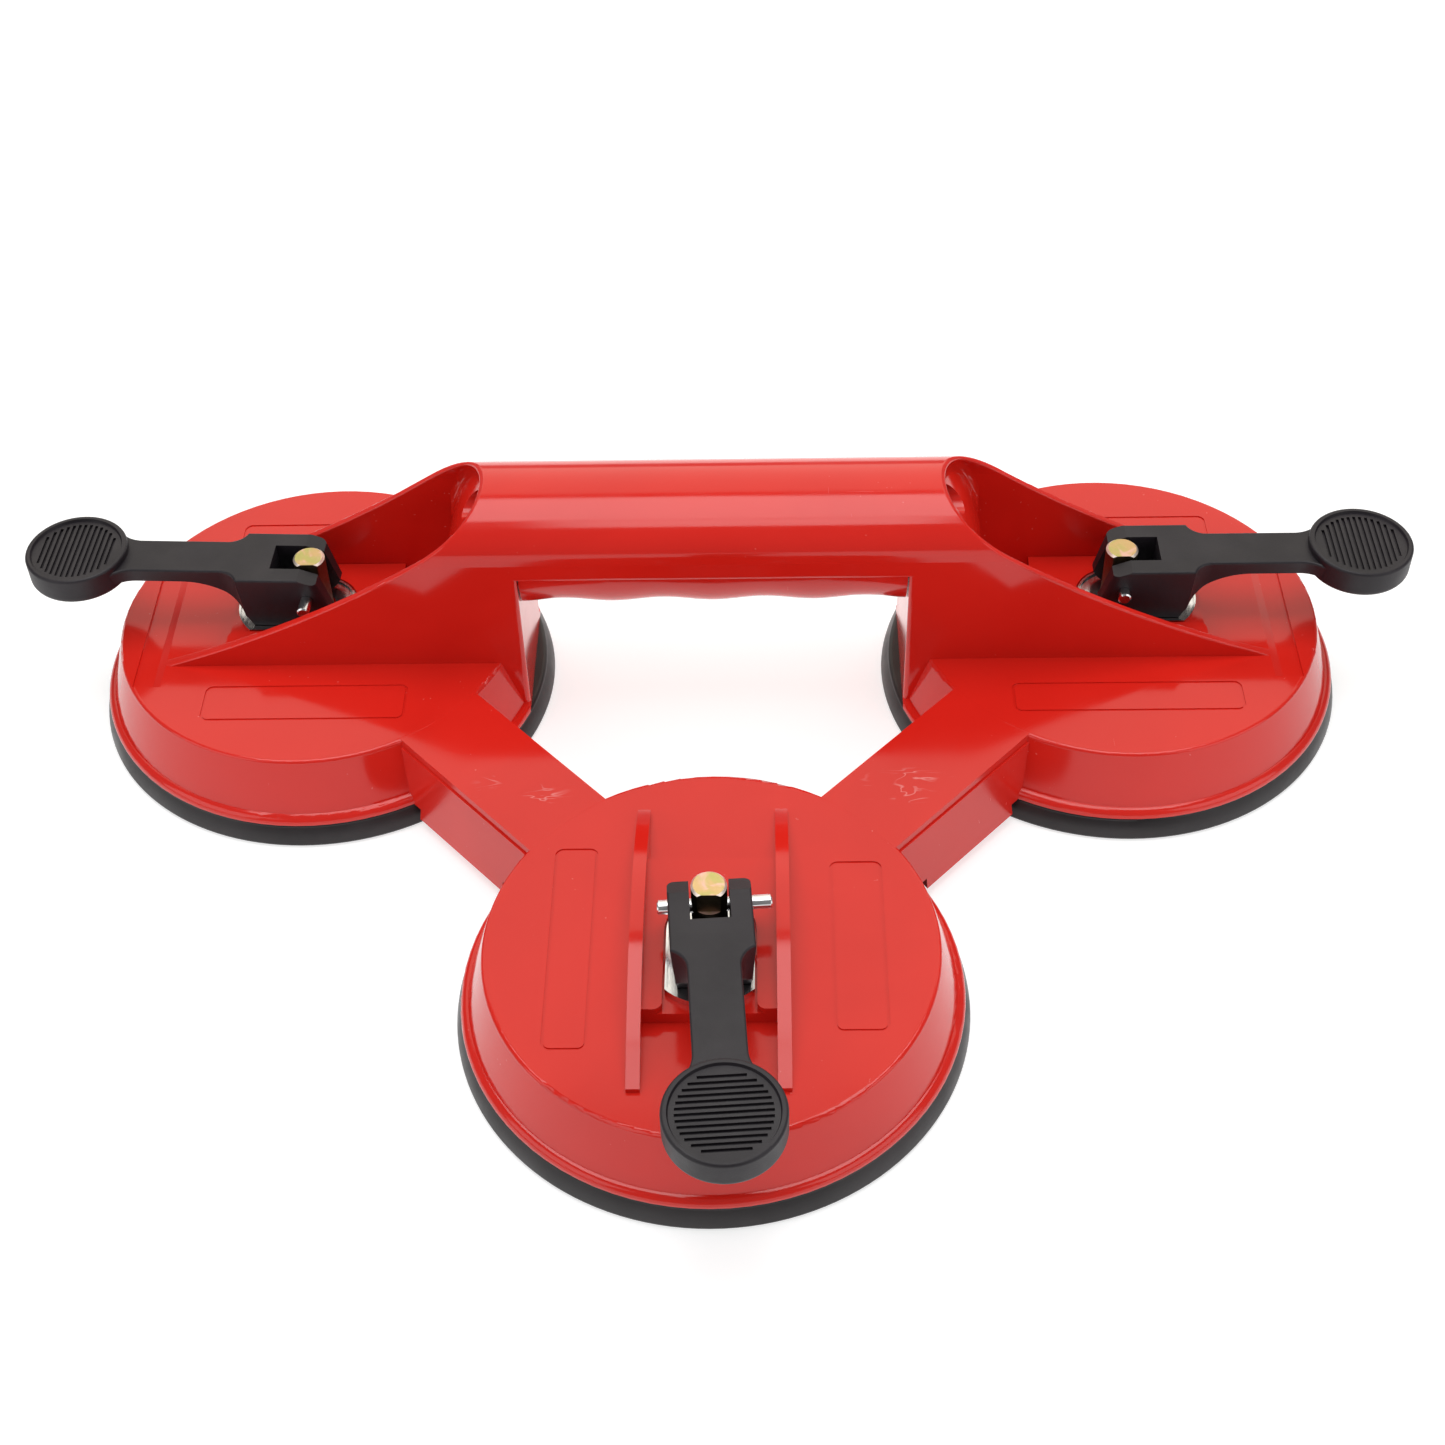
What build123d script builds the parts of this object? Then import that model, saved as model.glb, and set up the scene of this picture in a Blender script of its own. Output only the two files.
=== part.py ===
from build123d import *
import math
import os

# Triple suction lifter. Millimetres, +Z up from the surface that the rubber pads stand on,
# +X along the handle, +Y from the single front cup to the two rear cups. The origin is at
# the bottom centre of the whole object's box.

# Layout
half_pitch = 102.4          # half the distance between the rear cups
row_pitch = 108.3           # front cup centre to the rear row
wall = 3.0                  # moulded wall thickness

# Rubber pad
pad_radius = 59.0
pad_dome = 4.6              # height of the hollow under the pulled-up centre
hub_radius = 21.0
hub_top = 15.6

# Disc housing over each pad
disc_top = 22.6
disc_top_radius = 51.3
disc_edge_round = 0.9
skirt_foot_radius = 55.5    # where the drafted wall ends in a groove
skirt_foot = 9.0
lip_radius = 57.6
lip_bottom = 6.2

# Arms from the front disc to the rear discs
arm_half_top = 12.1
arm_half_foot = 15.2
arm_foot = 3.0
arm_band = 1.9              # depth of the slightly narrower band under the top edge
arm_step = 0.45
pad_room = 60.2             # the arms stay outside this radius below the lip

# Handle and its walls
handle_half = 17.6
channel_half = handle_half - wall
scoop_half = 15.1
scoop_rim_half = 15.9       # the scoops are drafted, so their walls are thinner at the rim
scoop_top = 66.5
shoulder = 55.0             # the flat sides end here and the rounded top begins
handle_top = 67.0
wall_end = 39.4             # outer end of a wall, from the cup's axis
apex = -46.6                # top of the arch, inboard of the cup's axis
crest_middle = (0.0, 38.0)  # the crest is one hollow arc from the arch down to the disc
crest_foot = 21.9
crest_round = 0.45
window_half = 48.0
window_top = 49.8
window_round = 1.2
end_wall_foot = (-34.0, 0.0)    # the scoop's end wall is upright, then curves inboard to the arch
end_wall_knee = (-35.0, 44.0)
end_wall_middle = (-39.8, 56.0)
end_wall_top = (-49.3, 66.6)
end_wall_shift = 3.6
end_wall_round = 2.0
peephole_radius = 3.6
peephole_height = 60.3

# Raised seat for the cam, its recess and the guard ribs
seat_top = 27.6
recess_floor = 25.9
seat_front = 21.5
seat_back = -21.0
recess_half = 10.3
recess_round = 2.0
rib_rise = 10.5
rib_end_rise = 1.2
stem_hole = 4.35

# Blank label fields: cup, (length, width) and place across the channel
label_depth = 0.3
label_line = 0.6
label_corner = 2.0
label_fields = (
    ("front", (48.0, 12.0), 33.0),
    ("front", (57.0, 10.0), -31.5),
    ("left", (51.0, 12.0), 31.0),
    ("left", (51.0, 12.0), -31.0),
    ("right", (57.0, 10.0), 31.5),
    ("right", (57.0, 10.0), -31.5),
)
under_rib_width = 2.0
under_rib_depth = 3.0

# Cam lever mechanism, heights above the standing surface
pin_height = 36.6
pin_radius = 1.6
pin_reach = (-11.5, 13.7)
stem_radius = 4.0
stem_top = 43.5
plate_thickness = 1.2
plate_half = 9.8
plate_front = 20.3
plate_bow = 4.1
plate_rim = 0.5
plate_rim_height = 0.6
stem_flat_length = 5.5
stem_flat_depth = 0.9
travel = 3.0                # the stem sinks this far as its lever comes upright
backing_radius = 17.0
backing_bottom = 9.6
backing_top = 11.8

# Cam lever, in its own frame: s runs outboard from the pin, z up from the pin
cam_gap = 0.2
cam_centre = (1.5, -1.5)    # the cheeks are an eccentric circle about this point
cam_radius = 8.0 - cam_gap
foot_level = cam_centre[1] - cam_radius
foot_end = 15.1
head_half = 9.2
head_round = 1.5
lever_round = 0.5
head_end = 17.2
arm_start = 22.0
lever_top = 6.7
lever_under = 2.85
lever_half = 5.8
lever_draft = 4.0           # degrees; the cheeks narrow towards the wear plate, clear of its rim
slot_half = 4.4
slot_end = 9.2
nose_top = (1.6, lever_top)
nose_tip = (-2.9, 4.9)
nose_angle = 205.0          # the nose is cut flat from its tip to this place on the eccentric circle
arm_level_start = 32.0
neck_round = 8.0            # hollow corner between the arm and the thumb pad
pin_fit = 0.05
thumb_centre = 59.3
thumb_radius = 12.8
thumb_top = 8.5
thumb_under = 0.9
thumb_round = 0.7
thumb_foot_round = 1.8
thumb_rim = 11.5            # the grooved field lies inside a raised rim
thumb_field_depth = 0.7
thumb_grooves = 13
thumb_groove_pitch = 1.44
thumb_groove_width = 0.75
thumb_groove_depth = 0.7
thumb_field_radius = 10.0

# Grip insert that closes the hollow handle from below
grip_half = 16.4
grip_depth = 15.7
grip_sections = 32
grip_length = 95.4
finger_pitch = 25.0
finger_wave = 0.75          # the insert's depth swells and shrinks by this much

# Which way each lever lies, and the small turn of its stem
front_skew = 3.7
left_skew = -2.3
lever_reach = thumb_centre * math.cos(math.radians(front_skew)) + thumb_radius
rear_y = (row_pitch - pad_radius + lever_reach) / 2
front_y = rear_y - row_pitch

cups = {
    "front": {"centre": (0.0, front_y), "outward": -90.0, "skew": front_skew},
    "left": {"centre": (-half_pitch, rear_y), "outward": 180.0, "skew": left_skew},
    "right": {"centre": (half_pitch, rear_y), "outward": 0.0, "skew": 0.0},
}

os.makedirs("parts", exist_ok=True)


def save(piece, name):
    """Label a finished piece and write it as its own STEP file."""
    piece.label = name
    export_step(piece, f"parts/{name}.step")


def cup_plane(cup, turn=0.0):
    """Horizontal plane at the cup's axis: x runs outboard, y across, z up."""
    angle = math.radians(cup["outward"] + turn)
    x, y = cup["centre"]
    return Plane(origin=(x, y, 0), x_dir=(math.cos(angle), math.sin(angle), 0), z_dir=(0, 0, 1))


def side_plane(cup, turn=0.0):
    """Upright plane through the cup's axis: x runs outboard, y is height."""
    flat = cup_plane(cup, turn)
    return Plane(origin=flat.origin, x_dir=flat.x_dir, z_dir=flat.x_dir.cross(Vector(0, 0, 1)))


def plate_outline(half, front, mode=Mode.ADD):
    """Wear plate from above: straight sides, rounded inboard end, gently bowed outboard end."""
    with BuildLine() as outline:
        Polyline((0, half), (front - plate_bow, half))
        ThreePointArc((front - plate_bow, half), (front, 0), (front - plate_bow, -half))
        Polyline((front - plate_bow, -half), (0, -half))
        ThreePointArc((0, -half), (-half, 0), (0, half))
    make_face(outline.edges(), mode=mode)


def cup_axis(cup):
    return Axis((cup["centre"][0], cup["centre"][1], 0), (0, 0, 1))


def housing_profile():
    """Half section of a disc housing: flat top, drafted wall, groove and rounded lip."""
    with BuildLine() as outline:
        top_edge = Line((0, disc_top), (disc_top_radius - disc_edge_round, disc_top))
        rounding = RadiusArc(top_edge @ 1, (disc_top_radius + 0.25, disc_top - disc_edge_round), 0.95)
        drafted = Line(rounding @ 1, (skirt_foot_radius, skirt_foot))
        groove = Line(drafted @ 1, (skirt_foot_radius + 0.2, skirt_foot - 0.5))
        lip_face = ThreePointArc(groove @ 1, (lip_radius - 0.5, skirt_foot - 1.1), (lip_radius, lip_bottom))
        Polyline(lip_face @ 1, (0, lip_bottom), (0, disc_top))
    make_face(outline.edges())


def cavity_profile():
    """Half section of the space under the disc."""
    with BuildLine() as outline:
        Polyline(
            (0, disc_top - wall), (disc_top_radius - wall - 0.7, disc_top - wall),
            (lip_radius - 5.2, lip_bottom - 0.1), (0, lip_bottom - 0.1), close=True)
    make_face(outline.edges())


def arm_section(half_top, half_foot, top):
    """Trapezoid across an arm, with the narrower band under its top edge."""
    slope = (half_foot - half_top) / (top - arm_foot)
    half_band = half_top + slope * arm_band
    with BuildLine() as outline:
        Polyline(
            (-half_foot, arm_foot), (-half_band, top - arm_band), (-half_band + arm_step, top - arm_band),
            (-half_top + arm_step, top), (half_top - arm_step, top), (half_band - arm_step, top - arm_band),
            (half_band, top - arm_band), (half_foot, arm_foot), close=True)
    make_face(outline.edges())


def handle_section(half, top, bottom, foot_half):
    """Flat sides below the shoulder, half an ellipse above it."""
    with BuildLine() as outline:
        Polyline((-half, shoulder), (-foot_half, bottom), (foot_half, bottom), (half, shoulder))
        EllipticalCenterArc((0, shoulder), half, top - shoulder, start_angle=0, arc_size=180)
    make_face(outline.edges())


def seat_outline(half, front):
    """U shape: straight sides, rounded inboard end about the stem."""
    with BuildLine() as outline:
        Polyline((0, half), (front, half), (front, -half), (0, -half))
        ThreePointArc((0, -half), (-half, 0), (0, half))
    make_face(outline.edges())


def on_window_rim(edge):
    """True for the edges where the hand window meets the handle's flat sides."""
    place = edge.center()
    on_side = abs(abs(place.Y - rear_y) - handle_half) < 0.01
    return on_side and abs(place.X) < window_half + 0.01 and place.Z < window_top + 0.01


def end_wall_line(shift):
    """Side view of the scoop's end wall, moved inboard by a shift."""
    foot, knee, middle, top = (
        (s - shift, z) for s, z in (end_wall_foot, end_wall_knee, end_wall_middle, end_wall_top))
    upright = Line(foot, knee)
    curve = ThreePointArc(knee, middle, top)
    return upright @ 0, Line(curve @ 1, curve @ 1 + curve % 1 * 5) @ 1


# Tools for the hollow handle: the scoop lies outboard of its end wall, the post's hollow inboard of it
handle_plane = Plane(origin=(0, rear_y, 0), x_dir=(0, 1, 0), z_dir=(1, 0, 0))
handle_side = side_plane(cups["right"])

with BuildPart() as scoop:
    with BuildSketch(handle_plane.offset(half_pitch - 60)):
        handle_section(scoop_rim_half, scoop_top, disc_top, scoop_half)
    extrude(amount=120)
    with BuildSketch(handle_side):
        with BuildLine():
            foot, top = end_wall_line(0)
            Polyline(top, (60, top.Y), (60, 0), foot)
        make_face()
    extrude(amount=handle_half, both=True, mode=Mode.INTERSECT)
    fillet(scoop.edges().filter_by(Axis.Y, reverse=True).group_by(Axis.X)[0]
           .filter_by(lambda edge: edge.length > 20), end_wall_round)

with BuildPart() as post_hollow:
    with BuildSketch(handle_plane.offset(window_half + wall)):
        handle_section(channel_half, handle_top - wall, 0, channel_half)
    extrude(amount=60)
    with BuildSketch(handle_side):
        with BuildLine():
            foot, top = end_wall_line(end_wall_shift)
            Polyline(top, (-60, top.Y), (-60, 0), foot)
        make_face()
    extrude(amount=handle_half, both=True, mode=Mode.INTERSECT)

with BuildPart() as crest_cut:
    with BuildSketch(handle_side):
        with BuildLine():
            crest = ThreePointArc((apex, handle_top), crest_middle, (wall_end, crest_foot))
            ridge_end = crest @ 0 - crest % 0 * 10
            Polyline(crest @ 1, (wall_end + 5, crest_foot), (wall_end + 5, 90), (ridge_end.X, 90),
                     ridge_end, crest @ 0)
        make_face()
    extrude(amount=25, both=True)

with BuildPart() as frame_body:
    # Arms, hollow underneath between the two discs that they join
    for name in ("left", "right"):
        start = Vector(*cups["front"]["centre"], 0)
        run = Vector(*cups[name]["centre"], 0) - start
        across = Vector(0, 0, 1).cross(run.normalized())
        arm_plane = Plane(origin=start, x_dir=across, z_dir=run.normalized())
        with BuildSketch(arm_plane):
            arm_section(arm_half_top, arm_half_foot, disc_top)
        extrude(amount=run.length)
        with BuildSketch(arm_plane.offset(lip_radius - 1)):
            with BuildLine():
                Polyline(
                    (wall - arm_half_foot, arm_foot - 1), (wall - arm_half_top, disc_top - wall),
                    (arm_half_top - wall, disc_top - wall), (arm_half_foot - wall, arm_foot - 1), close=True)
            make_face()
        extrude(amount=run.length - 2 * (lip_radius - 1), mode=Mode.SUBTRACT)

    # Disc housings and the posts between the discs and the handle
    for cup in cups.values():
        with BuildSketch(Plane(cup_plane(cup).origin)):
            Circle(pad_room)
        extrude(amount=lip_bottom, mode=Mode.SUBTRACT)
        with BuildSketch(side_plane(cup)):
            housing_profile()
        revolve(axis=cup_axis(cup))
    for side in (-1, 1):
        with Locations((side * (window_half + 9), rear_y, lip_bottom)):
            Box(18, 2 * handle_half, 22, align=(Align.CENTER, Align.CENTER, Align.MIN))
    for cup in cups.values():
        with BuildSketch(side_plane(cup)):
            cavity_profile()
        revolve(axis=cup_axis(cup), mode=Mode.SUBTRACT)

    # Handle: one long bar with its walls, then the crest, the scoops, the window and the hollows
    with BuildSketch(handle_plane.offset(-half_pitch - wall_end)):
        handle_section(handle_half, handle_top, disc_top - wall / 2, handle_half)
    extrude(amount=2 * (half_pitch + wall_end))
    for tool in (crest_cut, scoop, post_hollow):
        add(tool.part, mode=Mode.SUBTRACT)
        add(mirror(tool.part, Plane.YZ, mode=Mode.PRIVATE), mode=Mode.SUBTRACT)
    crests = frame_body.faces().filter_by(GeomType.CYLINDER).filter_by(lambda face: face.radius > 200)
    fillet(crests.edges().filter_by(lambda edge: edge.length > 2 * wall), crest_round)
    with BuildSketch(Plane.XZ.offset(-rear_y)):
        with Locations((0, window_top / 2)):
            Rectangle(2 * window_half, window_top)
    extrude(amount=2 * handle_half, both=True, mode=Mode.SUBTRACT)
    fillet(frame_body.edges().filter_by(on_window_rim), window_round)
    with BuildSketch(handle_plane.offset(-window_half - wall - 1)):
        handle_section(channel_half, handle_top - wall, window_top - 1, channel_half)
    extrude(amount=2 * (window_half + wall + 1), mode=Mode.SUBTRACT)
    with Locations(Plane(origin=(0, rear_y, peephole_height), x_dir=(0, 1, 0), z_dir=(1, 0, 0))):
        Cylinder(peephole_radius, 2 * (half_pitch - 30), mode=Mode.SUBTRACT)

    # Seats for the cams, with the hole for the stem
    for cup in cups.values():
        flat = cup_plane(cup)
        with BuildSketch(flat.offset(disc_top - 1)):
            with Locations(((seat_front + seat_back) / 2, 0)):
                Rectangle(seat_front - seat_back, 2 * channel_half + 1)
        extrude(amount=seat_top - disc_top + 1)
        with BuildSketch(flat.offset(recess_floor)):
            seat_outline(recess_half, seat_front + 5)
            for side in (-1, 1):
                with Locations((seat_front - recess_round / 2, side * (recess_half + recess_round / 2))):
                    Rectangle(recess_round, recess_round)
                with Locations((seat_front - recess_round, side * (recess_half + recess_round))):
                    Circle(recess_round, mode=Mode.SUBTRACT)
        extrude(amount=5, mode=Mode.SUBTRACT)
        with BuildSketch(flat.offset(disc_top - wall - 3)):
            Circle(9)
        extrude(amount=4)
        with BuildSketch(flat.offset(disc_top - wall - 5)):
            Circle(stem_hole)
        extrude(amount=20, mode=Mode.SUBTRACT)

    # Guard ribs beside the front lever
    for side in (-1, 1):
        rib_x = side * (handle_half - wall / 2)
        rib_plane = Plane(origin=(rib_x, front_y, 0), x_dir=(0, 1, 0), z_dir=(1, 0, 0))
        with BuildSketch(rib_plane):
            with BuildLine():
                rib_end = disc_top + rib_end_rise
                ThreePointArc((-wall_end, rib_end), (0, disc_top + rib_rise), (wall_end, rib_end))
                Polyline((wall_end, rib_end), (wall_end, disc_top - 1), (-wall_end, disc_top - 1),
                         (-wall_end, rib_end))
            make_face()
        extrude(amount=wall / 2, both=True)

    # Shallow outlines of the blank label fields, and the stiffening ribs under each disc
    for name, along, across in label_fields:
        cup = cups[name]
        with BuildSketch(cup_plane(cup).offset(disc_top - label_depth)):
            with Locations((0, across)):
                RectangleRounded(*along, label_corner)
                RectangleRounded(along[0] - 2 * label_line, along[1] - 2 * label_line,
                                 label_corner - label_line, mode=Mode.SUBTRACT)
        extrude(amount=1, mode=Mode.SUBTRACT)
    for cup in cups.values():
        with BuildSketch(cup_plane(cup).offset(disc_top - wall - under_rib_depth)):
            with PolarLocations(28.5, 8, start_angle=22.5):
                Rectangle(40, under_rib_width)
        extrude(amount=under_rib_depth + 1)

save(frame_body.part, "frame_body")

# Grip insert: a hollow trough with finger hollows, seated between the handle's sides
with BuildPart() as grip_insert:
    for n in range(grip_sections + 1):
        x = grip_length * (n / grip_sections - 0.5)
        depth = grip_depth + finger_wave * math.cos(2 * math.pi * x / finger_pitch)
        with BuildSketch(handle_plane.offset(x)):
            with BuildLine() as trough:
                EllipticalCenterArc((0, window_top), grip_half, depth, start_angle=180, arc_size=180)
                Line((grip_half, window_top), (-grip_half, window_top))
            make_face(trough.edges())
    loft()
    with BuildSketch(handle_plane.offset(-grip_length / 2)):
        with Locations((0, window_top + 1.5)):
            Rectangle(2 * channel_half - 0.3, 5)
    extrude(amount=grip_length)
    with BuildSketch(handle_plane.offset(wall - grip_length / 2)):
        with BuildLine() as hollow:
            EllipticalCenterArc((0, window_top), grip_half - wall, grip_depth - wall - 1,
                                start_angle=180, arc_size=180)
            Polyline((grip_half - wall, window_top), (channel_half - wall + 0.5, window_top + 6),
                     (wall - channel_half - 0.5, window_top + 6), (wall - grip_half, window_top))
        make_face(hollow.edges())
    extrude(amount=grip_length - 2 * wall, mode=Mode.SUBTRACT)

save(grip_insert.part, "grip_insert")


def pad_profile():
    """Half section of a rubber pad, its centre pulled up into a shallow dome."""
    with BuildLine() as outline:
        Polyline((0, pad_dome), (14, pad_dome), (24, pad_dome - 0.6), (38, 2.4), (49, 0.9), (51, 0.9),
                 (51.6, 0.3), (52.4, 0.3), (53, 0.9), (54.4, 0.9), (55, 0.3), (55.6, 0), (58.4, 0))
        edge = ThreePointArc((58.4, 0), (pad_radius - 0.1, 0.4), (pad_radius, 1.0))
        side = ThreePointArc(edge @ 1, (pad_radius - 0.5, 3.0), (pad_radius - 1.6, 5.2))
        crown = ThreePointArc(side @ 1, (pad_radius - 2.0, 5.9), (pad_radius - 2.8, lip_bottom))
        Polyline(crown @ 1, (51.4, lip_bottom), (46, 6.6), (26, 11.0), (hub_radius, hub_top), (0, hub_top),
                 (0, pad_dome))
    make_face(outline.edges())


def on_cam(degrees):
    """A point on a lever's eccentric circle."""
    angle = math.radians(degrees)
    return (cam_centre[0] + cam_radius * math.cos(angle), cam_centre[1] + cam_radius * math.sin(angle))


def on_nose_side(place):
    """True for the place, in the lever's frame, of an edge beside the flat of its nose."""
    return abs(place.X - (nose_tip[0] + on_cam(nose_angle)[0]) / 2) < 0.5


def lever_profile():
    """Side view of a cam lever: flat foot, eccentric nose, level top, arm hollowed beneath."""
    nose_start = (cam_centre[0], foot_level)
    nose_corner = on_cam(nose_angle)
    sweep_radius = ((arm_level_start - foot_end) ** 2 + (lever_under - foot_level) ** 2) / (
        2 * (lever_under - foot_level))
    sweep_centre = (arm_level_start, lever_under - sweep_radius)
    middle = math.radians(133)
    sweep_middle = (sweep_centre[0] + sweep_radius * math.cos(middle),
                    sweep_centre[1] + sweep_radius * math.sin(middle))
    with BuildLine() as outline:
        Line((foot_end, foot_level), nose_start)
        ThreePointArc(nose_start, on_cam((nose_angle + 270) / 2), nose_corner)
        Polyline(nose_corner, nose_tip, nose_top, (thumb_centre, lever_top), (thumb_centre, lever_under),
                 (arm_level_start, lever_under))
        ThreePointArc((arm_level_start, lever_under), sweep_middle, (foot_end, foot_level))
    make_face(outline.edges())


def lever_plan():
    """Top view of a cam lever without its thumb pad: wide head, hollow shoulders and neck, narrow arm."""
    neck_reach = math.sqrt((thumb_radius + neck_round) ** 2 - (lever_half + neck_round) ** 2)
    neck_start = thumb_centre - neck_reach
    blend = thumb_radius / (thumb_radius + neck_round)
    neck_end = (thumb_centre - neck_reach * blend, (lever_half + neck_round) * blend)
    with BuildLine() as outline:
        for side in (-1, 1):
            Polyline((-9, 0), (-9, side * head_half), (head_end, side * head_half))
            TangentArc((arm_start, side * lever_half), (head_end, side * head_half), tangent=(-1, 0))
            Line((arm_start, side * lever_half), (neck_start, side * lever_half))
            TangentArc((neck_start, side * lever_half), (neck_end[0], side * neck_end[1]), tangent=(1, 0))
            Line((neck_end[0], side * neck_end[1]), (thumb_centre, 0))
    make_face(outline.edges())


def thumb_profile():
    """Half section of a thumb pad: rounded edges and a raised rim about the sunk field."""
    rim = thumb_centre + thumb_radius
    field = thumb_top - thumb_field_depth
    inner_rim = thumb_centre + thumb_rim
    with BuildLine() as outline:
        foot = RadiusArc((rim - thumb_foot_round, thumb_under), (rim, thumb_under + thumb_foot_round),
                         -thumb_foot_round)
        edge = RadiusArc((rim, thumb_top - thumb_round), (rim - thumb_round, thumb_top), -thumb_round)
        Line(foot @ 1, edge @ 0)
        Polyline(edge @ 1, (inner_rim, thumb_top), (inner_rim - 0.3, field), (thumb_centre, field),
                 (thumb_centre, thumb_under), foot @ 0)
    make_face(outline.edges())


for name, cup in cups.items():
    flat = cup_plane(cup)
    turned = cup_plane(cup, cup["skew"])
    upright = side_plane(cup, cup["skew"])
    pin_centre = turned.origin + Vector(0, 0, pin_height)
    pin_line = Plane(origin=pin_centre, x_dir=turned.x_dir, z_dir=turned.y_dir)
    lever_side = Plane(origin=pin_centre, x_dir=upright.x_dir, z_dir=upright.z_dir)

    with BuildPart() as rubber_pad:
        with BuildSketch(side_plane(cup)):
            pad_profile()
        revolve(axis=cup_axis(cup))
        with BuildSketch(flat.offset(backing_bottom - travel - 0.3)):
            Circle(backing_radius + 0.3)
        extrude(amount=backing_top - backing_bottom + travel + 0.6, mode=Mode.SUBTRACT)
        with BuildSketch(flat.offset(backing_top)):
            Circle(stem_hole)
        extrude(amount=10, mode=Mode.SUBTRACT)
    save(rubber_pad.part, f"{name}_rubber_pad")

    with BuildPart() as backing_plate:
        with BuildSketch(flat.offset(backing_bottom)):
            Circle(backing_radius)
            with PolarLocations(11.5, 6):
                Circle(2.0, mode=Mode.SUBTRACT)
            Circle(stem_radius - 0.8, mode=Mode.SUBTRACT)
        extrude(amount=backing_top - backing_bottom)
        chamfer(backing_plate.edges().filter_by(GeomType.CIRCLE).sort_by(SortBy.RADIUS)[-2:], 0.3)
    save(backing_plate.part, f"{name}_backing_plate")

    with BuildPart() as stem:
        with BuildSketch(flat.offset(backing_top)):
            Circle(stem_radius)
        extrude(amount=stem_top - backing_top)
        chamfer(stem.edges().group_by(Axis.Z)[-1], 0.5)
        with BuildSketch(flat.offset(backing_bottom)):
            Circle(stem_radius - 0.8)
        extrude(amount=backing_top - backing_bottom)
        with BuildSketch(Plane(flat.origin).offset(stem_top - stem_flat_length)):
            with Locations((0, stem_flat_depth - 2 * stem_radius)):
                Rectangle(4 * stem_radius, 2 * stem_radius)
        extrude(amount=stem_flat_length + 1, mode=Mode.SUBTRACT)
        with BuildSketch(pin_line.offset(-10)):
            Circle(pin_radius)
        extrude(amount=20, mode=Mode.SUBTRACT)
    save(stem.part, f"{name}_stem")

    with BuildPart() as wear_plate:
        with BuildSketch(flat.offset(recess_floor)):
            plate_outline(plate_half, plate_front)
            Circle(stem_hole + 0.2, mode=Mode.SUBTRACT)
        extrude(amount=plate_thickness)
        with BuildSketch(flat.offset(recess_floor + plate_thickness)):
            plate_outline(plate_half, plate_front)
            plate_outline(plate_half - plate_rim, plate_front - plate_rim, mode=Mode.SUBTRACT)
        extrude(amount=plate_rim_height)
    save(wear_plate.part, f"{name}_wear_plate")

    with BuildPart() as cross_pin:
        with BuildSketch(pin_line.offset(pin_reach[0])):
            Circle(pin_radius)
        extrude(amount=pin_reach[1] - pin_reach[0])
        chamfer(cross_pin.edges(), 0.3)
    save(cross_pin.part, f"{name}_cross_pin")

    with BuildPart() as cam_lever:
        with BuildSketch(lever_side):
            lever_profile()
        extrude(amount=head_half, both=True)
        with BuildSketch(turned.offset(pin_height + lever_top)):
            lever_plan()
        extrude(amount=-(lever_top - foot_level + 1), taper=lever_draft, mode=Mode.INTERSECT)
        fillet(cam_lever.edges().filter_by(lambda edge: on_nose_side(turned.to_local_coords(edge.center()))),
               head_round)
        fillet(cam_lever.edges().group_by(Axis.Z)[-1], lever_round)
        with BuildSketch(turned.offset(pin_height - 12)):
            with Locations((slot_end - 10, 0)):
                Rectangle(20, 2 * slot_half)
        extrude(amount=24, mode=Mode.SUBTRACT)
        with BuildSketch(lever_side):
            thumb_profile()
        revolve(axis=Axis(turned.from_local_coords((thumb_centre, 0, 0)), (0, 0, 1)))
        groove_floor = pin_height + thumb_top - thumb_field_depth - thumb_groove_depth
        with BuildSketch(turned.offset(groove_floor)):
            for n in range(thumb_grooves):
                place = (n - (thumb_grooves - 1) / 2) * thumb_groove_pitch
                reach = math.sqrt(thumb_field_radius**2 - place**2)
                with Locations((thumb_centre + place, 0)):
                    Rectangle(thumb_groove_width, 2 * reach)
        extrude(amount=thumb_groove_depth, mode=Mode.SUBTRACT)
        with BuildSketch(pin_line.offset(-15)):
            Circle(pin_radius + pin_fit)
        extrude(amount=30, mode=Mode.SUBTRACT)
    save(cam_lever.part, f"{name}_cam_lever")
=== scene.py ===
import math

import bpy
from mathutils import Euler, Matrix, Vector

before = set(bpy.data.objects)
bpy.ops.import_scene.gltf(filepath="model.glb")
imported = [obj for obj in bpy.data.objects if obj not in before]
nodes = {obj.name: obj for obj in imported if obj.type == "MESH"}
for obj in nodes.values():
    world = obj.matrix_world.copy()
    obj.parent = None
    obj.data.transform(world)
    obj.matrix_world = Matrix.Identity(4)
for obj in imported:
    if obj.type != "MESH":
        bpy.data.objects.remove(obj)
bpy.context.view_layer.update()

cups = ("front", "left", "right")

# The scuffed patch on top of each arm, in metres: its centre (mirrored for the other arm) and half sizes
scuff_centre = (0.0455, 0.0018, 0.0226)
scuff_half = (0.0135, 0.00435, 0.002)

# Studio, in metres. The floor lies just under the pads
floor_size = 3.0
floor_height = -0.0002
floor_glow = 0.66
world_glow = 0.22
white = (1.0, 1.0, 1.0)
warm = (1.0, 0.93, 0.80)

# Camera
lens = 53.62
sensor = 36.0
camera_place = (0.01284, -0.34678, 0.40228)
camera_turn = (44.114, 1.206, 0.439)    # degrees


# ---------------------------------------------------------------- shader helpers

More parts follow.
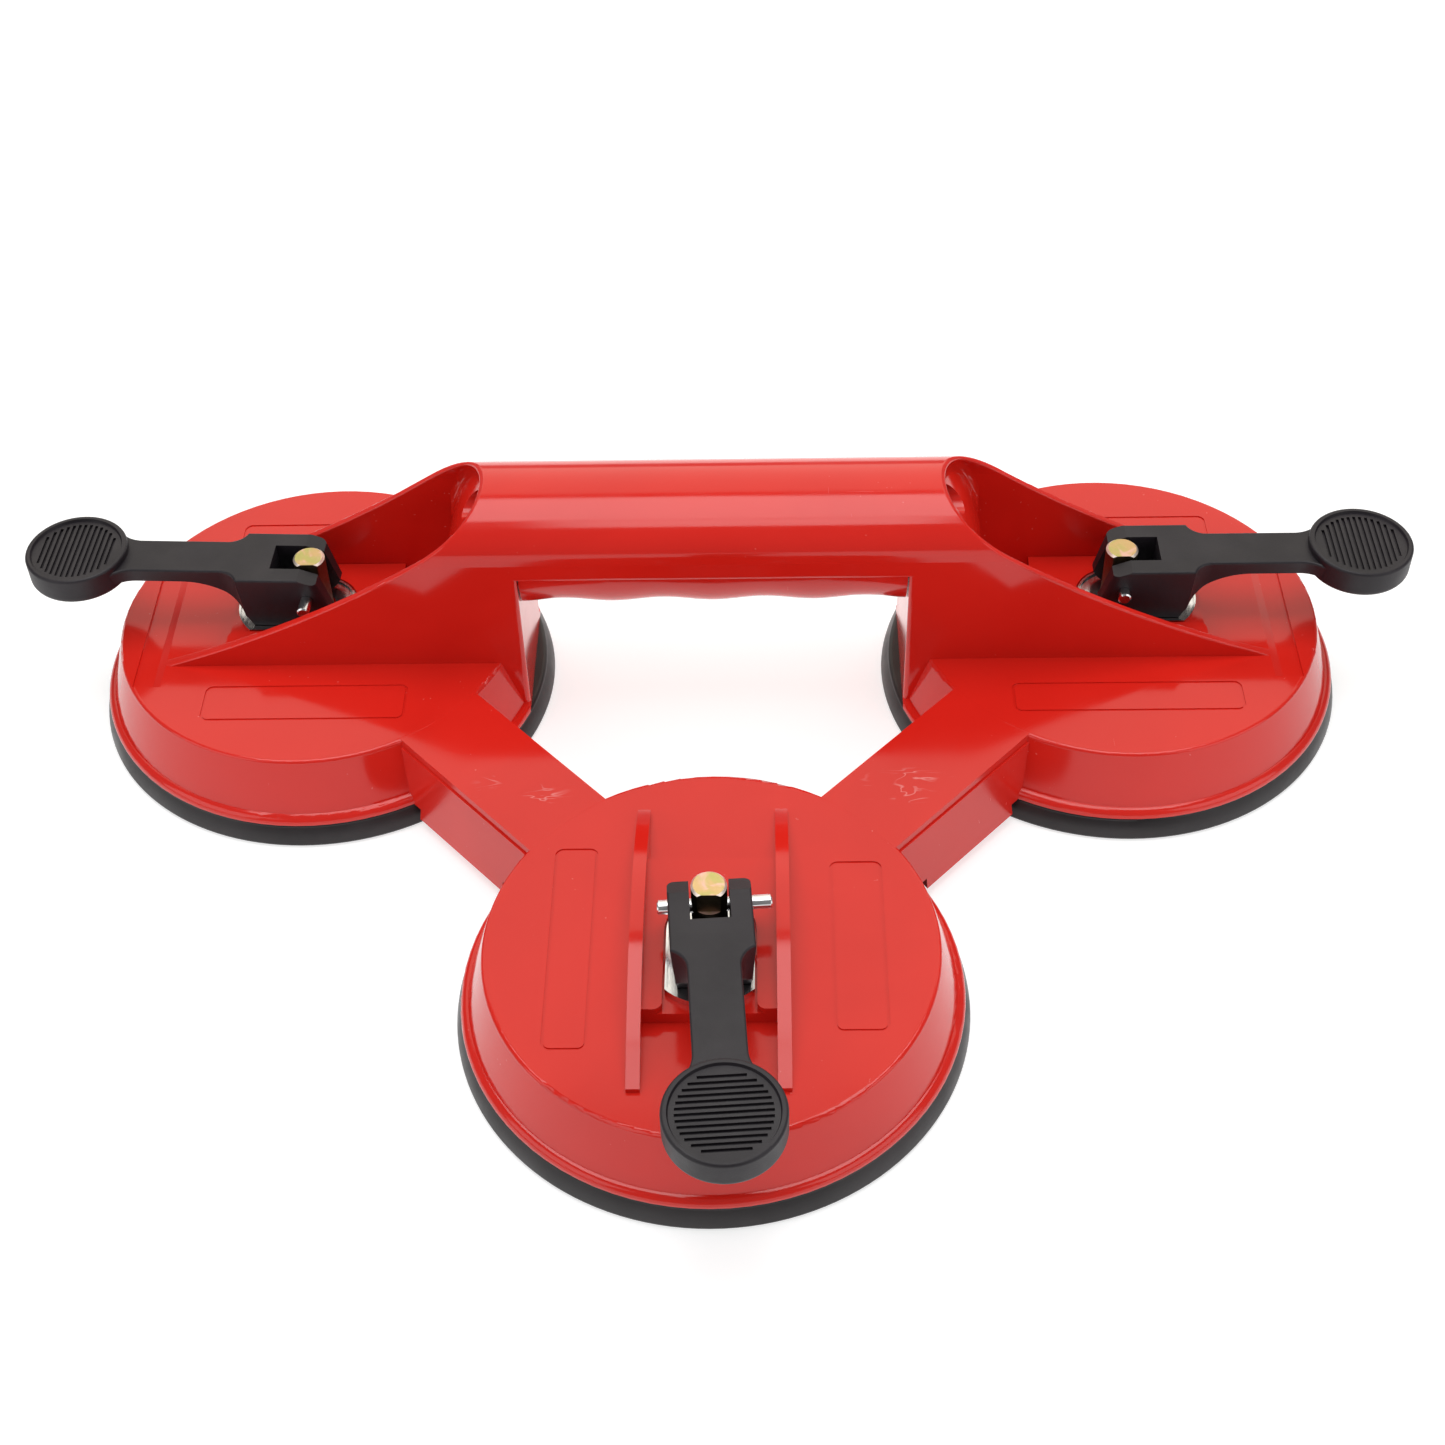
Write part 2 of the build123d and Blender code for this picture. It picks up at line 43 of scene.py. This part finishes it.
class Shader:
    """A material with one Principled shader, and short ways to add nodes to it."""

    def __init__(self, name, metallic=0.0, ior=1.5):
        self.material = bpy.data.materials.new(name)
        self.material.use_nodes = True
        self.tree = self.material.node_tree
        self.surface = self.tree.nodes["Principled BSDF"]
        self.surface.inputs["Metallic"].default_value = metallic
        self.surface.inputs["IOR"].default_value = ior
        self.place = self.node("ShaderNodeTexCoord").outputs["Object"]

    def node(self, kind, **settings):
        made = self.tree.nodes.new(kind)
        for key, value in settings.items():
            setattr(made, key, value)
        return made

    def link(self, output, target):
        self.tree.links.new(output, target)

    def feed(self, socket, value):
        """Set a socket to a number or colour, or link it to another node's output."""
        if isinstance(value, bpy.types.NodeSocket):
            self.link(value, socket)
        else:
            socket.default_value = value

    def stretch(self, scale, turn=(0.0, 0.0, 0.0)):
        """The surface's place with each axis scaled, for grain that runs one way."""
        made = self.node("ShaderNodeMapping")
        made.inputs["Scale"].default_value = scale
        made.inputs["Rotation"].default_value = turn
        self.link(self.place, made.inputs["Vector"])
        return made.outputs["Vector"]

    def noise(self, scale, detail=3.0, roughness=0.5, distortion=0.0, place=None):
        """Fractal noise with this many cells per metre, or per unit of a stretched place."""
        made = self.node("ShaderNodeTexNoise")
        self.link(place or self.place, made.inputs["Vector"])
        made.inputs["Scale"].default_value = scale
        made.inputs["Detail"].default_value = detail
        made.inputs["Roughness"].default_value = roughness
        made.inputs["Distortion"].default_value = distortion
        return made.outputs["Fac"]

    def ramp(self, value, low, high, out_low=0.0, out_high=1.0):
        """Map low..high smoothly to out_low..out_high, held at both ends."""
        made = self.node("ShaderNodeMapRange", interpolation_type="SMOOTHSTEP")
        self.link(value, made.inputs["Value"])
        sockets = ("From Min", "From Max", "To Min", "To Max")
        for socket, number in zip(sockets, (low, high, out_low, out_high)):
            self.feed(made.inputs[socket], number)
        return made.outputs["Result"]

    def math(self, operation, first, second=0.0):
        made = self.node("ShaderNodeMath", operation=operation)
        self.feed(made.inputs[0], first)
        self.feed(made.inputs[1], second)
        return made.outputs["Value"]

    def vector(self, operation, first, second=(0.0, 0.0, 0.0), result="Vector"):
        made = self.node("ShaderNodeVectorMath", operation=operation)
        self.feed(made.inputs[0], first)
        self.feed(made.inputs[1], second)
        return made.outputs[result]

    def mix(self, amount, first, second):
        """Blend two colours."""
        made = self.node("ShaderNodeMix", data_type="RGBA")
        self.feed(made.inputs["Factor"], amount)
        self.feed(made.inputs["A"], first)
        self.feed(made.inputs["B"], second)
        return made.outputs["Result"]

    def bump(self, height, distance, strength=1.0, under=None):
        made = self.node("ShaderNodeBump")
        made.inputs["Distance"].default_value = distance
        made.inputs["Strength"].default_value = strength
        self.link(height, made.inputs["Height"])
        if under is not None:
            self.link(under, made.inputs["Normal"])
        return made.outputs["Normal"]

    def finish(self, color, roughness, normal=None):
        self.feed(self.surface.inputs["Base Color"], color)
        self.feed(self.surface.inputs["Roughness"], roughness)
        if normal is not None:
            self.link(normal, self.surface.inputs["Normal"])
        return self.material


def rgb(red, green, blue):
    return (red, green, blue, 1.0)


# ---------------------------------------------------------------- materials

def glossy_red():
    """Injection-moulded ABS: deep gloss, faint flow marks, hairline scratches, dust and scuffed arms."""
    s = Shader("red_abs", ior=1.52)
    s.surface.inputs["Specular IOR Level"].default_value = 0.43
    flow = s.ramp(s.noise(14.0, 3.0, distortion=0.8), 0.3, 0.7)
    color = s.mix(flow, rgb(0.62, 0.0150, 0.0088), rgb(0.68, 0.019, 0.0115))
    fleck = s.ramp(s.noise(900.0, 1.0), 0.76, 0.80)
    sparse = s.ramp(s.noise(45.0, 2.0), 0.52, 0.62)
    color = s.mix(s.math("MULTIPLY", s.math("MULTIPLY", fleck, sparse), 0.35), color, rgb(0.80, 0.25, 0.22))
    hair = s.noise(1.0, 2.0, place=s.stretch((60.0, 1900.0, 400.0), (0.0, 0.0, 0.6)))
    cross = s.noise(1.0, 2.0, place=s.stretch((1700.0, 50.0, 400.0), (0.0, 0.0, 0.25)))
    scratch = s.math("MAXIMUM", s.ramp(hair, 0.70, 0.76), s.ramp(cross, 0.70, 0.76))
    worn = s.math("MULTIPLY", scratch, s.ramp(s.noise(22.0, 2.0), 0.45, 0.7))
    from_patch = s.vector("SUBTRACT", s.vector("ABSOLUTE", s.place), scuff_centre)
    patch_reach = s.vector("LENGTH", s.vector("DIVIDE", from_patch, scuff_half), result="Value")
    patch = s.ramp(patch_reach, 1.0, 0.55)
    winding = s.noise(1.0, 1.0, 0.5, 1.4, place=s.stretch((75.0, 260.0, 60.0)))
    line = s.ramp(s.math("ABSOLUTE", s.math("SUBTRACT", winding, 0.5)), 0.045, 0.0)
    broken = s.ramp(s.noise(95.0, 2.0), 0.50, 0.66)
    scuff = s.math("MULTIPLY", s.math("MULTIPLY", line, broken), patch)
    color = s.mix(s.math("MULTIPLY", scuff, 0.42), color, rgb(0.86, 0.42, 0.40))
    haze = s.ramp(s.noise(38.0, 4.0), 0.3, 0.7, 0.085, 0.15)
    roughness = s.math("ADD", haze, s.math("MULTIPLY", s.math("MAXIMUM", worn, scuff), 0.16))
    sink = s.bump(s.noise(26.0, 1.0), 0.0004, 0.35)
    skin = s.bump(s.noise(1500.0, 2.0), 0.00001, 0.25, under=sink)
    return s.finish(color, roughness, skin)


def satin_rubber():
    """Moulded black rubber with a faint bloom and fine pits."""
    s = Shader("black_rubber", ior=1.5)
    s.surface.inputs["Specular IOR Level"].default_value = 0.42
    bloom = s.ramp(s.noise(30.0, 5.0, 0.6), 0.35, 0.75)
    color = s.mix(bloom, rgb(0.012, 0.0095, 0.0105), rgb(0.025, 0.020, 0.022))
    roughness = s.ramp(s.noise(70.0, 5.0, 0.65), 0.3, 0.7, 0.30, 0.46)
    soft = s.bump(s.noise(120.0, 3.0), 0.0003, 0.25)
    pits = s.bump(s.noise(2600.0, 3.0, 0.6), 0.00004, 0.5, under=soft)
    return s.finish(color, roughness, pits)


def grained_nylon():
    """Black glass-filled nylon with a fine spark-eroded grain and slightly polished high spots."""
    s = Shader("black_nylon", ior=1.5)
    s.surface.inputs["Specular IOR Level"].default_value = 0.38
    cloud = s.ramp(s.noise(60.0, 4.0), 0.3, 0.7)
    color = s.mix(cloud, rgb(0.0095, 0.0070, 0.0100), rgb(0.0170, 0.0135, 0.0175))
    rub = s.ramp(s.noise(110.0, 4.0, 0.6), 0.4, 0.75)
    roughness = s.math("SUBTRACT", 0.50, s.math("MULTIPLY", rub, 0.10))
    grain = s.bump(s.noise(3200.0, 3.0, 0.6), 0.00005, 0.6)
    return s.finish(color, roughness, grain)


def yellow_zinc():
    """Yellow-passivated zinc: a film from straw to pink, with a painted pale highlight on its chamfered
    edges and painted shade down its sides.
    """
    s = Shader("yellow_zinc", metallic=1.0)
    film = s.noise(170.0, 3.0, 0.55, 0.6)
    straw = s.mix(s.ramp(film, 0.38, 0.60), rgb(0.46, 0.42, 0.15), rgb(0.58, 0.40, 0.19))
    color = s.mix(s.ramp(s.noise(210.0, 2.0, 0.5, 1.0), 0.46, 0.62), straw, rgb(0.70, 0.44, 0.36))
    facing = s.node("ShaderNodeSeparateXYZ")
    s.link(s.node("ShaderNodeNewGeometry").outputs["Normal"], facing.inputs["Vector"])
    tilt = facing.outputs["Z"]
    # Painted highlight: surfaces tilted like the top chamfer get a pale rim colour, standing in for the
    # bright reflection there
    painted_rim_highlight = s.math("MULTIPLY", s.ramp(tilt, 0.35, 0.6), s.ramp(tilt, 0.98, 0.9))
    # Painted shade: side-facing surfaces are darkened towards dark brown by their facing, not by any dirt
    painted_side_shade = s.ramp(tilt, 0.3, 0.1)
    color = s.mix(painted_side_shade, color, rgb(0.13, 0.10, 0.06))
    color = s.mix(painted_rim_highlight, color, rgb(0.98, 0.84, 0.74))
    roughness = s.ramp(s.noise(900.0, 4.0, 0.6), 0.3, 0.7, 0.38, 0.52)
    turned = s.bump(s.noise(1.0, 2.0, place=s.stretch((500.0, 500.0, 6000.0))), 0.00002, 0.35)
    return s.finish(color, roughness, turned)


def bright_steel():
    """Nickel-plated steel with fine drawn lines and rubbed patches."""
    s = Shader("bright_steel", metallic=1.0)
    cloud = s.ramp(s.noise(140.0, 3.0), 0.3, 0.7)
    color = s.mix(cloud, rgb(0.72, 0.72, 0.73), rgb(0.84, 0.84, 0.84))
    drawn = s.noise(1.0, 3.0, place=s.stretch((5200.0, 420.0, 420.0), (0.0, 0.0, 0.4)))
    roughness = s.ramp(drawn, 0.3, 0.7, 0.13, 0.26)
    lines = s.bump(drawn, 0.00001, 0.4)
    return s.finish(color, roughness, lines)


def dress(names, material):
    """Give CAD nodes a material."""
    for name in names:
        slots = nodes[name].data.materials
        slots.clear()
        slots.append(material)


red = glossy_red()
rubber = satin_rubber()
nylon = grained_nylon()
zinc = yellow_zinc()
steel = bright_steel()
dress(["frame_body", "grip_insert"], red)
for cup in cups:
    dress([f"{cup}_rubber_pad"], rubber)
    dress([f"{cup}_cam_lever"], nylon)
    dress([f"{cup}_stem"], zinc)
    dress([f"{cup}_wear_plate", f"{cup}_cross_pin", f"{cup}_backing_plate"], steel)


# ---------------------------------------------------------------- floor, light and camera

def pale_floor():
    """Faintly mottled pale sheet that glows a little, so that it stays near white around the object."""
    s = Shader("pale_floor")
    tone = s.ramp(s.noise(9.0, 2.0), 0.3, 0.7)
    color = s.mix(tone, rgb(0.49, 0.49, 0.49), rgb(0.51, 0.51, 0.51))
    material = s.finish(color, 0.6)
    s.surface.inputs["Emission Color"].default_value = rgb(*white)
    s.surface.inputs["Emission Strength"].default_value = floor_glow
    bpy.ops.mesh.primitive_plane_add(size=floor_size, location=(0, 0, floor_height))
    floor = bpy.context.object
    floor.name = "floor"
    floor.data.materials.append(material)


def softbox(name, place, aim, size, radiance, tint=white):
    """Rectangular light that faces its aim. Its watts are worked out from the radiance."""
    light = bpy.data.lights.new(name, "AREA")
    light.shape = "RECTANGLE"
    light.color = tint
    light.size, light.size_y = size
    light.energy = radiance * math.pi * size[0] * size[1]
    holder = bpy.data.objects.new(name, light)
    holder.location = place
    holder.rotation_euler = (Vector(aim) - Vector(place)).to_track_quat("-Z", "Y").to_euler()
    bpy.context.scene.collection.objects.link(holder)


pale_floor()
softbox("top_softbox", (0, 0.17, 1.06), (0, 0.17, 0), (0.95, 0.66), 3.6)
softbox("front_top_softbox", (0, -0.30, 1.06), (0, -0.30, 0), (0.30, 0.26), 3.3)
softbox("back_softbox", (0, 1.35, 0.95), (0, 0, 0.1), (2.6, 1.5), 1.08, warm)
for side in (-1, 1):
    softbox("side_softbox", (side * 1.25, -0.75, 0.8), (0, 0, 0.03), (1.25, 1.15), 1.35)

world = bpy.data.worlds.new("studio")
world.use_nodes = True
background = world.node_tree.nodes["Background"]
background.inputs["Color"].default_value = rgb(*white)
background.inputs["Strength"].default_value = world_glow
bpy.context.scene.world = world
bpy.context.scene.view_settings.view_transform = "Standard"

camera_data = bpy.data.cameras.new("camera")
camera_data.sensor_width = sensor
camera_data.lens = lens
camera = bpy.data.objects.new("camera", camera_data)
camera.location = camera_place
camera.rotation_euler = Euler([math.radians(angle) for angle in camera_turn])
bpy.context.scene.collection.objects.link(camera)
bpy.context.scene.camera = camera
